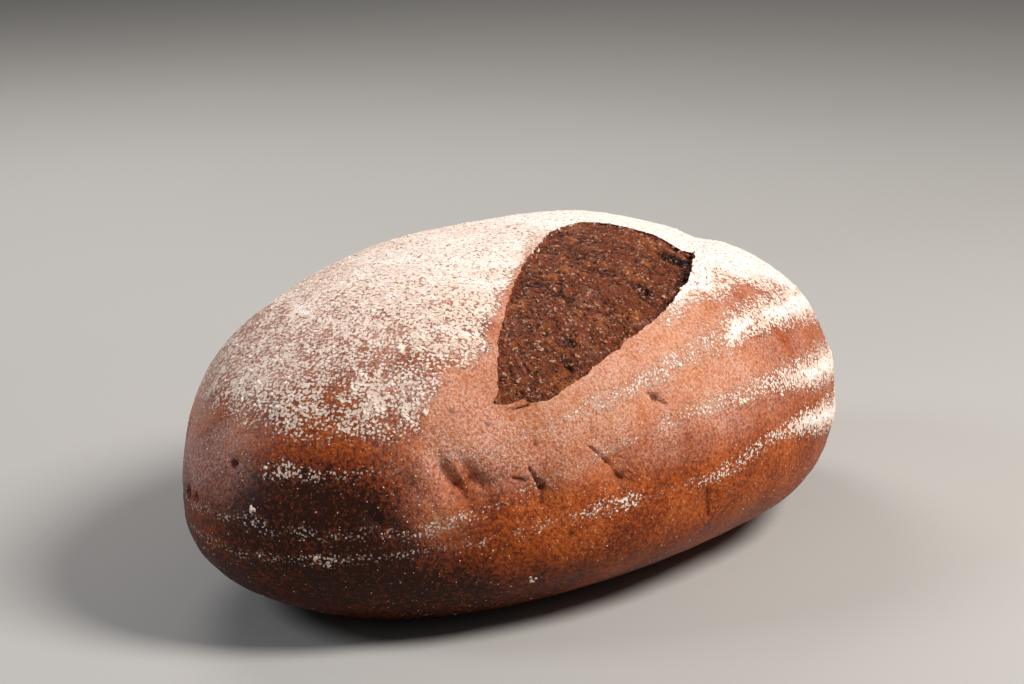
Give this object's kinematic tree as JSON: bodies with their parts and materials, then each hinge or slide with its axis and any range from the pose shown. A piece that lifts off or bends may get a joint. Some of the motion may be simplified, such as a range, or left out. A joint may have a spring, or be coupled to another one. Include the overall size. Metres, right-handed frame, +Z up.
{
  "type": "rye bread loaf",
  "caption": "Whole long oval loaf of floured rye bread with a burst score along its crown, flat underneath; prepared food that rests on a table or board.",
  "frame": {"origin": "under the middle of the loaf, on the board it rests on", "axes": "+X along the loaf towards the end where the score closes bluntly, +Y across the loaf away from the side that shows the flour rings, +Z up"},
  "size_m": [0.26, 0.1669, 0.0987],
  "materials": {
    "crust": "matt baked crust, brown, dusted with pale flour"
  },
  "bodies": {
    "root": {"rye_loaf": "crust"}
  },
  "joints": []
}
